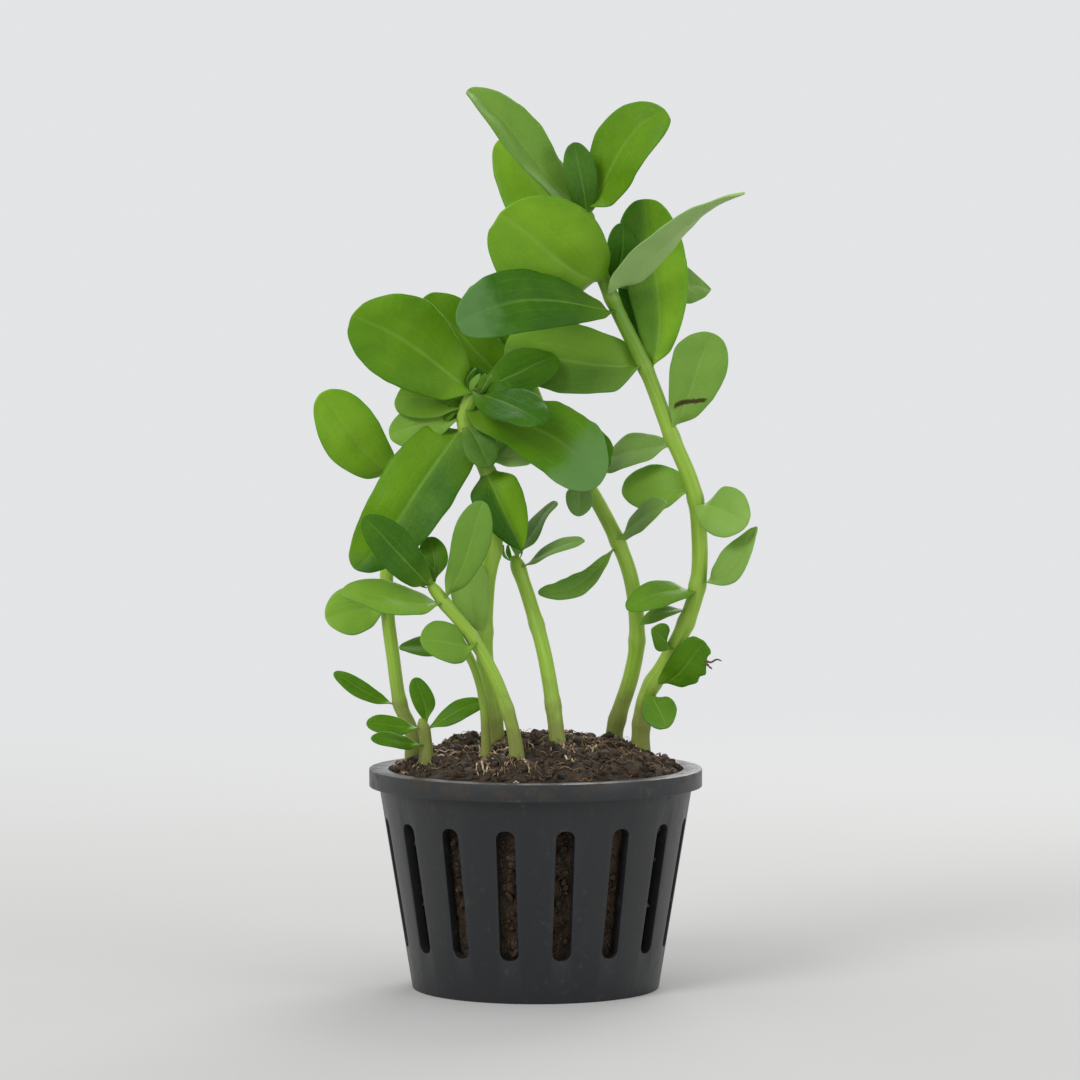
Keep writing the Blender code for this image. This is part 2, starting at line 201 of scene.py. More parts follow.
bpy.ops.mesh.primitive_circle_add(
    vertices=96, radius=BOARD_RADIUS * MM, fill_type="NGON", location=(0, 0, 0),
)
floor = bpy.context.object
floor.name = "floor"
board = Finish("pale_board", Roughness=1, Specular_IOR_Level=0)
radius = board.node("VectorMath", {"operation": "LENGTH"}, {0: board.place()}, "Value")
tint = board.mix(board.noise(60, 2), (0.5, 0.5, 0.495), (0.515, 0.515, 0.51))
floor.data.materials.append(board.show(Base_Color=tint, Alpha=radius.between(BOARD_GONE, BOARD_SOLID)))


# Pot: a round basket moulded in one piece from near-black plastic. Slots in the wall and the floor let
# water and roots through, and a thick rim stiffens the mouth.
POT_HEIGHT = 30.6
RIM_RADIUS = 23.2
RIM_DEPTH = 2.4
MOUTH_RADIUS = 20.6
FOOT_RADIUS = 17.2
WALL = 1.2
POT_FLOOR = 1.6
POT_SIDES = 128
MOULD_EDGE = 0.22  # radius of the moulded edges
WALL_SLOTS = 16
WALL_SLOT_LOW = 6
WALL_SLOT_HIGH = 24
WALL_SLOT_WIDTH = 2.6
WALL_SLOT_PLACE = 19.2  # radius at which the middle of its cutter stands
WALL_SLOT_REACH = 10  # how far the cutter reaches through the wall
FLOOR_SLOTS = 8
FLOOR_SLOT_LENGTH = 7
FLOOR_SLOT_WIDTH = 2.2
FLOOR_SLOT_PLACE = 10
SLOT_ROUNDING = 0.42  # radius of a slot's ends, as a share of its width


def take(*pieces):
    """Selects these pieces and nothing else, with the first one active."""
    bpy.ops.object.select_all(action="DESELECT")
    for piece in pieces:
        piece.select_set(True)
    bpy.context.view_layer.objects.active = pieces[0]


def join_up(name, finish, slot, *nodes):
    """The active object as a finished piece: at the origin, on the body and in the place of these nodes."""
    piece = bpy.context.object
    piece.name = piece.data.name = name
    bpy.ops.object.transform_apply(location=True, rotation=True, scale=True)
    piece.data.materials.clear()
    piece.data.materials.append(finish)
    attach(piece, "root")
    if nodes:
        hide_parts(*nodes)


def apply_modifier(kind, **settings):
    piece = bpy.context.object
    modifier = piece.modifiers.new(kind.title(), kind)
    for key, value in settings.items():
        setattr(modifier, key, value)
    bpy.ops.object.modifier_apply(modifier=modifier.name)


def select_faces(test):
    """In edit mode, selects the faces of the active mesh whose middle and normal pass the test."""
    bpy.ops.object.mode_set(mode="OBJECT")
    mesh = bpy.context.object.data
    for part in (mesh.vertices, mesh.edges, mesh.polygons):
        part.foreach_set("select", [False] * len(part))
    for face in mesh.polygons:
        face.select = test(face.center / MM, face.normal)
    bpy.ops.object.mode_set(mode="EDIT")


def widen(ratio):
    """Scales what is selected about the pot's axis."""
    bpy.ops.transform.resize(value=(ratio, ratio, 1), center_override=(0, 0, 0))


def raise_by(height):
    bpy.ops.mesh.extrude_region_move(TRANSFORM_OT_translate={"value": (0, 0, height * MM)})


def direction(mesh, edge):
    first, second = (mesh.vertices[i].co for i in edge.vertices)
    return (second - first).normalized()


def make_cutter(radius, angle, length, width, low, high):
    """A cutter for a slot: a tall one has round ends as seen from outside, a low one as seen from above."""
    bpy.ops.object.select_all(action="DESELECT")
    turn = math.radians(angle)
    place = (radius * math.cos(turn) * MM, radius * math.sin(turn) * MM, (low + high) / 2 * MM)
    bpy.ops.mesh.primitive_cube_add(size=1, location=place, rotation=(0, 0, turn))
    cutter = bpy.context.object
    cutter.scale = (length * MM, width * MM, (high - low) * MM)
    bpy.ops.object.transform_apply(location=False, rotation=False, scale=True)
    is_tall = high - low > length
    weights = cutter.data.attributes.new("bevel_weight_edge", "FLOAT", "EDGE")
    for edge in cutter.data.edges:
        run = direction(cutter.data, edge)
        if abs(run.x if is_tall else run.z) > 0.9:
            weights.data[edge.index].value = 1
    apply_modifier("BEVEL", width=width * SLOT_ROUNDING * MM, segments=6, limit_method="WEIGHT")
    bpy.ops.object.transform_apply(location=True, rotation=True, scale=True)
    return cutter


bpy.ops.object.select_all(action="DESELECT")
bpy.ops.mesh.primitive_cone_add(
    vertices=POT_SIDES, radius1=FOOT_RADIUS * MM, radius2=(MOUTH_RADIUS + WALL) * MM,
    depth=(POT_HEIGHT - RIM_DEPTH) * MM, location=(0, 0, (POT_HEIGHT - RIM_DEPTH) / 2 * MM),
)
bpy.ops.object.transform_apply(location=True, rotation=True, scale=True)
select_faces(lambda middle, normal: normal.z > 0.9)
raise_by(0)
widen(RIM_RADIUS / (MOUTH_RADIUS + WALL))
raise_by(RIM_DEPTH)
raise_by(0)
widen(MOUTH_RADIUS / RIM_RADIUS)
raise_by(POT_FLOOR - POT_HEIGHT)
widen((FOOT_RADIUS - WALL) / MOUTH_RADIUS)
bpy.ops.object.mode_set(mode="OBJECT")
pot = bpy.context.object
cutters = []
for slot in range(WALL_SLOTS):
    angle = (slot + 0.5) * 360 / WALL_SLOTS
    size = (WALL_SLOT_REACH, WALL_SLOT_WIDTH)
    cutters.append(make_cutter(WALL_SLOT_PLACE, angle, *size, WALL_SLOT_LOW, WALL_SLOT_HIGH))
for slot in range(FLOOR_SLOTS):
    angle = slot * 360 / FLOOR_SLOTS
    size = (FLOOR_SLOT_LENGTH, FLOOR_SLOT_WIDTH)
    cutters.append(make_cutter(FLOOR_SLOT_PLACE, angle, *size, -1, POT_FLOOR + 1))
take(*cutters)
bpy.ops.object.join()
slots = bpy.context.object
take(pot)
apply_modifier("BOOLEAN", operation="DIFFERENCE", object=slots, solver="EXACT")
bpy.data.objects.remove(slots)
apply_modifier(
    "BEVEL", width=MOULD_EDGE * MM, segments=3, limit_method="ANGLE", angle_limit=math.radians(34),
)
bpy.ops.object.shade_smooth_by_angle(angle=math.radians(32))

plastic = Finish("pot_plastic", Roughness=0.45, Specular_IOR_Level=0.45)
grain = plastic.noise(0.35, 2)
scuffs = plastic.noise(3.5, 5, 0.7, (1, 1, 0.25)).between(0.56, 0.78)
lime = (plastic.noise(7, 6, 0.72) * plastic.noise(1.2, 3)).between(0.3, 0.46)
height = plastic.node("SeparateXYZ", {}, {0: plastic.place()}, "Z")
soil = (plastic.noise(2.2, 6, 0.7) + height.between(26, 31) * 0.12).between(0.6, 0.72)
tint = plastic.paint(
    (0.014, 0.015, 0.017),
    (scuffs * 0.5, (0.032, 0.033, 0.034)),
    (lime * 0.16, (0.16, 0.155, 0.14)),
    (soil * 0.55, (0.035, 0.024, 0.014)),
)
bump = plastic.relief(plastic.noise(5, 2), 0.1, plastic.relief(grain, 0.03))
rough = 0.36 + grain * 0.08 + scuffs * 0.1 + (lime | soil) * 0.2
plastic.show(Base_Color=tint, Roughness=rough, Normal=bump)
join_up("pot_basket", plastic.material, "pot_plastic", "pot")


# Growing medium: a plug of dark fibrous peat that the young plants were rooted in. It is pressed into the
# pot and rises in a low crumbly mound, with coarse crumbs and loose fibres on it and in the slots of the
# wall.
MOUND_EDGE = 30.0  # height at which the mound meets the pot's mouth
MOUND_HEIGHT = 4.6
PLUG_LOW = 2.0
PLUG_SIDES = 128
PLUG_GAP = 0.35  # between the plug and the pot's wall
WALL_TAPER = (MOUTH_RADIUS - FOOT_RADIUS + WALL) / (POT_HEIGHT - POT_FLOOR)
MOUND_SHARE = 0.5  # share of the plug's points, from its top, that make the mound
SIDE_SHARE = 0.9  # share that makes the mound and the side
CRUMBS = 1500
FIBRES = 420
ON_MOUND = 0.72  # share of the crumbs and fibres on the mound, not in the slots


def plug_radius(z):
    """Radius of the plug at this height."""
    return FOOT_RADIUS - WALL + WALL_TAPER * (z - POT_FLOOR) - PLUG_GAP


def mound(x, y):
    """Height of the growing medium at a place in the pot's mouth."""
    share = min(1, math.hypot(x, y) / plug_radius(MOUND_EDGE))
    swell = 1.8 * noise.noise(Vector((x, y, MOUND_EDGE + 2)) / 5)
    swell += 0.7 * noise.noise(Vector((x, y, 7)) / 1.7)
    return MOUND_EDGE + MOUND_HEIGHT * (1 - share ** 2) ** 0.7 + swell * (1 - share ** 4)


bpy.ops.object.select_all(action="DESELECT")
bpy.ops.mesh.primitive_uv_sphere_add(segments=PLUG_SIDES, ring_count=72, radius=1)
plug = bpy.context.object
for vert in plug.data.vertices:
    down = math.acos(max(-1, min(1, vert.co.z))) / math.pi
    angle = math.atan2(vert.co.y, vert.co.x)
    z = PLUG_LOW
    if down < MOUND_SHARE:
        radius = plug_radius(MOUND_EDGE) * down / MOUND_SHARE
        z = mound(radius * math.cos(angle), radius * math.sin(angle))
    elif down < SIDE_SHARE:
        z = MOUND_EDGE + (PLUG_LOW - MOUND_EDGE) * (down - MOUND_SHARE) / (SIDE_SHARE - MOUND_SHARE)
        rough = noise.noise(Vector((math.cos(angle) * 8, math.sin(angle) * 8, z / 2.2)))
        radius = plug_radius(z) - 0.2 + 0.25 * rough
    else:
        radius = plug_radius(PLUG_LOW) * (1 - down) / (1 - SIDE_SHARE)
    vert.co = Vector((radius * math.cos(angle), radius * math.sin(angle), z)) * MM
bpy.ops.object.shade_smooth()

peat = Finish("peat", Specular_IOR_Level=0.4)
clods = peat.noise(1.6, 6, 0.68)
threads = peat.noise(0.5, 3, 0.6, (1, 1, 0.3))
tint = peat.paint(
    (0.012, 0.008, 0.005),
    (clods.between(0.35, 0.62), (0.06, 0.037, 0.02)),
    (threads.between(0.58, 0.7) * 0.6, (0.15, 0.098, 0.052)),
)
damp = peat.noise(4, 2).between(0.5, 0.62)
bump = peat.relief(clods, 0.7, peat.relief(threads, 0.25))
peat.show(Base_Color=tint, Roughness=0.92 - damp * 0.3, Normal=bump)
join_up("peat_plug", peat.material, "growing_medium", "growing_medium")

chance = random.Random(11)
noise.seed_set(11)  # noise_vector takes its seed from the clock otherwise


def seat(depth):
    """A random place on the mound or in a slot of the wall, and the direction out of the medium there."""
    angle = chance.uniform(0, math.tau)
    if chance.random() < ON_MOUND:
        radius = plug_radius(MOUND_EDGE) * math.sqrt(chance.uniform(0, 0.97))
        x, y = radius * math.cos(angle), radius * math.sin(angle)
        fall_x = mound(x - 0.3, y) - mound(x + 0.3, y)
        fall_y = mound(x, y - 0.3) - mound(x, y + 0.3)
        return Vector((x, y, mound(x, y) + depth)), Vector((fall_x, fall_y, 0.6)).normalized()
    slot = chance.randrange(WALL_SLOTS) + 0.5
    turn = math.tau * slot / WALL_SLOTS + chance.uniform(-0.05, 0.05)
    z = chance.uniform(WALL_SLOT_LOW + 0.6, WALL_SLOT_HIGH - 0.6)
    out = Vector((math.cos(turn), math.sin(turn), 0))
    return out * (plug_radius(z) - 0.1 + depth) + Vector((0, 0, z)), out


def face_outwards(merge=False):
    """Turns the faces of the active mesh outwards. With merge, its doubled points are joined first."""
    bpy.ops.object.mode_set(mode="EDIT")
    bpy.ops.mesh.select_all(action="SELECT")
    if merge:
        bpy.ops.mesh.remove_doubles(threshold=0.001 * MM)
    bpy.ops.mesh.normals_make_consistent(inside=False)
    bpy.ops.object.mode_set(mode="OBJECT")
    bpy.ops.object.shade_smooth()


def scatter(name, count, finish, slot, shape):
    """One piece of many small closed bodies, each given by the shape function as points and faces."""
    points, faces = [], []
    for _ in range(count):
        body, sides = shape()
        faces += [[len(points) + i for i in side] for side in sides]
        points += body
    mesh = bpy.data.meshes.new(name)
    mesh.from_pydata([point * MM for point in points], [], faces)
    piece = bpy.data.objects.new(name, mesh)
    bpy.context.scene.collection.objects.link(piece)
    take(piece)
    face_outwards()
    join_up(name, finish, slot)


bpy.ops.object.select_all(action="DESELECT")
bpy.ops.mesh.primitive_ico_sphere_add(subdivisions=2, radius=1)
ball = bpy.context.object
BALL_POINTS = [vert.co.copy() for vert in ball.data.vertices]
BALL_FACES = [list(face.vertices) for face in ball.data.polygons]
bpy.data.objects.remove(ball)


def crumb():
    """A rough grain of peat. Most are small, and a few are three times as wide."""
    size = 0.28 + 0.62 * chance.random() ** 2.4
    middle, _ = seat(0.1)
    shift = Vector((chance.uniform(0, 90), 0, 0))
    flat = Vector((chance.uniform(0.6, 1.2), chance.uniform(0.6, 1.2), chance.uniform(0.45, 0.9)))
    turn = Vector((chance.uniform(-1, 1), chance.uniform(-1, 1), 1)).to_track_quat("Z", "X")
    body = []
    for point in BALL_POINTS:
        swell = 1 + 0.55 * noise.noise(point * 1.3 + shift) + 0.25 * noise.noise(point * 3.1 + shift)
        body.append(middle + turn @ (point * flat) * size * swell)
    return body, BALL_FACES


def strand(path, thickness, sides=4):
    """A thin strand along the path that tapers at both ends, as points and faces."""
    body, faces = [], []
    for i, point in enumerate(path):
        along = (path[min(i + 1, len(path) - 1)] - path[max(i - 1, 0)]).normalized()
        across = along.orthogonal().normalized()
        up = along.cross(across)
        share = i / (len(path) - 1)
        radius = thickness * (0.35 + 0.65 * math.sin(math.pi * min(1, 0.08 + share * 0.84)))
        for side in range(sides):
            angle = math.tau * side / sides
            body.append(point + (across * math.cos(angle) + up * math.sin(angle)) * radius)
    for first in range(0, (len(path) - 1) * sides, sides):
        for side in range(sides):
            after = (side + 1) % sides
            faces.append([first + side, first + after, first + sides + after, first + sides + side])
    last = (len(path) - 1) * sides
    return body, faces + [list(range(sides - 1, -1, -1)), [last + side for side in range(sides)]]


def wander(start, heading, length, steps, curl, hug):
    """A path that wanders from the start. Over the mound it stays as high above the medium as hug says."""
    path = [start]
    shift = Vector((chance.uniform(0, 90), chance.uniform(0, 90), 0))
    for i in range(steps):
        drift = noise.noise_vector(path[-1] / 2.5 + shift) * curl
        heading = (heading + drift).normalized()
        point = path[-1] + heading * length / steps
        if point.z > MOUND_EDGE - 1:
            reach = plug_radius(MOUND_EDGE) - 0.4
            spread = math.hypot(point.x, point.y)
            if spread > reach:
                point.x *= reach / spread
                point.y *= reach / spread
            point.z = mound(point.x, point.y) + hug + 0.25 * math.sin(i * 1.7)
        path.append(point)
    return path


def fibre():
    """A loose fibre of the peat."""
    start, out = seat(0.15)
    side = out.orthogonal().normalized()
    side.rotate(out.to_track_quat("Z", "X"))
    heading = side + out * chance.uniform(-0.1, 0.5) + Vector((0, 0, chance.uniform(-0.6, 0.4)))
    heading.normalize()
    if start.z < MOUND_EDGE - 1:
        path = [start]
        for _ in range(5):
            heading = (heading + noise.noise_vector(path[-1]) * 0.4 - out * 0.12).normalized()
            path.append(path[-1] + heading * 0.5)
        return strand(path, chance.uniform(0.04, 0.08), 3)
    path = wander(start, heading, chance.uniform(2, 8), 9, 0.5, chance.uniform(0.1, 0.7))
    return strand(path, chance.uniform(0.04, 0.11), 3)


scatter("peat_crumbs", CRUMBS, peat.material, "growing_medium", crumb)
straw = Finish("peat_fibre", Specular_IOR_Level=0.35, Roughness=0.8)
tint = straw.mix(straw.noise(2.6, 2).between(0.35, 0.65), (0.07, 0.04, 0.02), (0.24, 0.16, 0.085))
straw.show(Base_Color=tint)
scatter("peat_fibres", FIBRES, straw.material, "growing_medium", fibre)


# Stems: eight soft round stems, each a little thicker at the joints where its leaves stand, rooted in the
# growing medium. They are yellow-green and full of water, so light passes into them, and their feet are
# brownish. High up among the leaves they are painted darker green, as painted shade.
#
# A stem's values are its radius at the foot and at the top, the heights of its joints and its route.
Stem = namedtuple("Stem", "foot top joints points")
STEMS = {
    "stem_tall": Stem(1.3, 1.0, (36.5, 42.4, 50.9, 56, 68.2, 76.8, 86.4, 96, 103), [
        (14.7, 2.8, 27), (14.7, 2.8, 35), (15.5, 1.8, 40.5), (18.3, 0.4, 45.6), (20.9, 0, 50.8),
        (22.5, 0, 56), (22.8, 0, 62), (21.9, 0.4, 69.5), (18.6, 1.5, 77.6), (15.4, 2, 86),
        (11.2, 0.6, 94.6), (8.6, -0.6, 101), (7, -1, 108.4),
    ]),
    "stem_center": Stem(1.25, 1.0, (36.8, 48, 62, 71.2, 79), [
        (11.1, 6.5, 27), (11.1, 6.5, 35), (13.4, 5.6, 43), (14.2, 4.6, 48.5), (13.6, 4, 55.5),
        (11.9, 4, 61), (8.6, 4.4, 67.6), (4.6, 6, 74), (1, 7.6, 79.6), (-1, 8, 84.5),
    ]),
    "stem_rosette": Stem(1.35, 1.1, (38, 50, 61, 72, 78), [
        (-5.5, -5, 27), (-5.5, -5, 35), (-7, -5.4, 46), (-6.8, -5.6, 56), (-5.6, -6, 63),
        (-5.8, -6, 70), (-8.4, -6.4, 75.6), (-9.8, -7, 79.6), (-8.2, -7.6, 83.6),
    ]),
    "stem_short": Stem(1.2, 1.0, (40, 51, 58.4), [
        (3, -8, 27), (3, -8, 35), (1.4, -6, 46), (-0.8, -3.6, 54), (-3, -2.6, 60.4),
    ]),
    "stem_left": Stem(1.0, 1.0, (39.6, 53, 63, 70), [
        (-17.2, 0, 27), (-17.2, 0, 35), (-18.9, 0.6, 39.5), (-19.9, 1.4, 46), (-20.7, 2, 52.6),
        (-20.7, 2.4, 60), (-19.6, 3, 67), (-19.2, 3, 71.6),
    ]),
    "stem_front": Stem(1.0, 0.9, (40, 49.6, 54.4), [
        (-2.7, -13, 27), (-2.7, -13, 35), (-5, -12.6, 43), (-8.6, -12.4, 49.6), (-12.4, -12.4, 54.4),
        (-14.6, -12.4, 57.4),
    ]),
    "stem_thin": Stem(0.7, 0.6, (41, 47.6), [
        (-6.8, -10, 27), (-6.8, -10, 35), (-7.2, -10, 41), (-8.4, -10, 45.4), (-10, -9.8, 48.4),
    ]),
    "stem_basal": Stem(0.9, 0.8, (36.6,), [
        (-15.1, -7.4, 27), (-15.1, -7.4, 34.6), (-15.8, -7.4, 38.2),
    ]),
}
JOINT_SWELL = 0.13  # how much thicker a stem is at a joint, as a share of its radius
JOINT_REACH = 0.9  # how far up and down a joint swells it
BARK_REACH = 0.5  # how far up and down a joint is paler
SLIMMING = 0.05  # how much slimmer it is between its joints
FOOT_FLARE = 0.25  # how much wider it is where it leaves the medium
FOOT_HEIGHT = 33
TIP_TAPER = 1.4  # how far below its top a stem starts to round off


def smooth_route(points, steps):
    """Points along a smooth curve through the given ones (Catmull-Rom)."""
    ends = [points[0], *points, points[-1]]
    route = []
    for knots in zip(ends, ends[1:], ends[2:], ends[3:]):
        before, start, end, after = (Vector(knot) for knot in knots)
        for step in range(steps):
            t = step / steps
            bend = (2 * before - 5 * start + 4 * end - after) * t * t
            bend += (3 * start - before - 3 * end + after) * t * t * t
            route.append(start + ((end - before) * t + bend) / 2)
    route.append(Vector(points[-1]))
    return route


ROUTES = {name: smooth_route(stem.points, 14) for name, stem in STEMS.items()}


def stem_radius(name, z):
    """The stem's radius at a height: it narrows upwards, and swells at its joints and foot."""
    stem = STEMS[name]
    low, high = stem.points[0][2], stem.points[-1][2]
    radius = stem.foot + (stem.top - stem.foot) * (z - low) / (high - low)
    swell = sum(math.exp(-(((z - joint) / JOINT_REACH) ** 2)) for joint in stem.joints)
    flare = FOOT_FLARE * math.exp(-max(0, z - FOOT_HEIGHT) / 1.5)
    return radius * (1 + JOINT_SWELL * min(1, swell) - SLIMMING) + flare


def on_stem(name, z):
    """The stem's axis, its direction and its radius at a height."""
    route = ROUTES[name]
    for start, end in zip(route, route[1:]):
        if end.z >= z or end is route[-1]:
            share = min(1, (z - start.z) / (end.z - start.z))
            return start.lerp(end, share), (end - start).normalized(), stem_radius(name, z)


flesh = Finish("stem_flesh", Specular_IOR_Level=0.35, Subsurface_Weight=0.4, Subsurface_Scale=1.4 * MM)
flesh.set(flesh.shader, {"Subsurface Radius": Vector((0.7, 1.0, 0.25))})
height = flesh.node("SeparateXYZ", {}, {0: flesh.place()}, "Z")
around = flesh.node("Attribute", {"attribute_name": "around"}, {}, "Vector")
lengthwise = flesh.node("Mapping", {}, {"Vector": around, "Scale": (2.2, 2.2, 0.07)})
streaks = flesh.node("TexNoise", {}, {"Vector": lengthwise, "Scale": 1, "Detail": 3})
joint = flesh.node("Attribute", {"attribute_name": "joint"}, {}, "Fac")
foot = (height + flesh.noise(2, 4) * 10).between(50, 40)
marks = flesh.noise(0.7, 4, 0.7, (1, 1, 0.5)).between(0.66, 0.74)
tint = flesh.paint(
    (0.22, 0.37, 0.028),
    (streaks.between(0.35, 0.65), (0.285, 0.44, 0.05)),
    # painted shade: darker green from 76 to 94 mm high, where the upper leaves shade the stems
    (height.between(76, 94) * 0.75, (0.08, 0.2, 0.012)),
    (joint * 0.4, (0.24, 0.36, 0.06)),
    (foot * 0.7, (0.15, 0.125, 0.04)),
    (marks * 0.3, (0.1, 0.13, 0.02)),
)
bump = flesh.relief(streaks, 0.08, flesh.relief(flesh.noise(0.25, 2), 0.015))
flesh.show(Base_Color=tint, Roughness=0.36 + streaks * 0.12 + foot * 0.2, Normal=bump)

for name, values in STEMS.items():
    route = ROUTES[name]
    curve = bpy.data.curves.new(name, "CURVE")
    curve.dimensions = "3D"
    curve.bevel_depth = MM
    curve.bevel_resolution = 6
    curve.use_fill_caps = True
    spline = curve.splines.new("POLY")
    spline.points.add(len(route) - 1)
    for knot, place in zip(spline.points, route):
        knot.co = (*(place * MM), 1)
        left = min(1, (route[-1].z - place.z) / TIP_TAPER)
        knot.radius = stem_radius(name, place.z) * max(0.3, math.sqrt(1 - (1 - left) ** 2))
    stem = bpy.data.objects.new(name, curve)
    bpy.context.scene.collection.objects.link(stem)
    take(stem)
    bpy.ops.object.convert(target="MESH")
    face_outwards(merge=True)
    mesh = bpy.context.object.data
    near_joint = mesh.attributes.new("joint", "FLOAT", "POINT")
    around = mesh.attributes.new("around", "FLOAT_VECTOR", "POINT")
    for i, vert in enumerate(mesh.vertices):
        place = vert.co / MM
        axis, _, radius = on_stem(name, place.z)
        near_joint.data[i].value = max(math.exp(-((place.z - z) / BARK_REACH) ** 2) for z in values.joints)
        around.data[i].vector = ((place.x - axis.x) / radius, (place.y - axis.y) / radius, place.z)
    join_up(name + "_flesh", flesh.material, "stem_green", name)


# Roots: pale threads that grow from beside the stems' feet and run over the medium. Stretches of them are
# stained brown by the peat.
ROOTS = 46


def root():
    """A root as a strand."""
    x, y, _ = chance.choice(list(STEMS.values())).points[0]
    angle = chance.uniform(0, math.tau)
    out = Vector((math.cos(angle), math.sin(angle), 0))
    start = Vector((x, y, 0)) + out * 0.9
    start.z = mound(start.x, start.y) + 0.6
    path = wander(start, out, chance.uniform(3, 9), 14, 0.45, chance.uniform(-0.05, 0.3))
    return strand(path, chance.uniform(0.09, 0.17), 6)


pale = Finish("root_white", Roughness=0.5, Subsurface_Weight=0.3, Subsurface_Scale=0.5 * MM)
pale.show(Base_Color=pale.mix(pale.noise(3, 3).between(0.4, 0.62), (0.55, 0.48, 0.33), (0.3, 0.2, 0.1)))
scatter("white_roots", ROOTS, pale.material, "growing_medium", root)
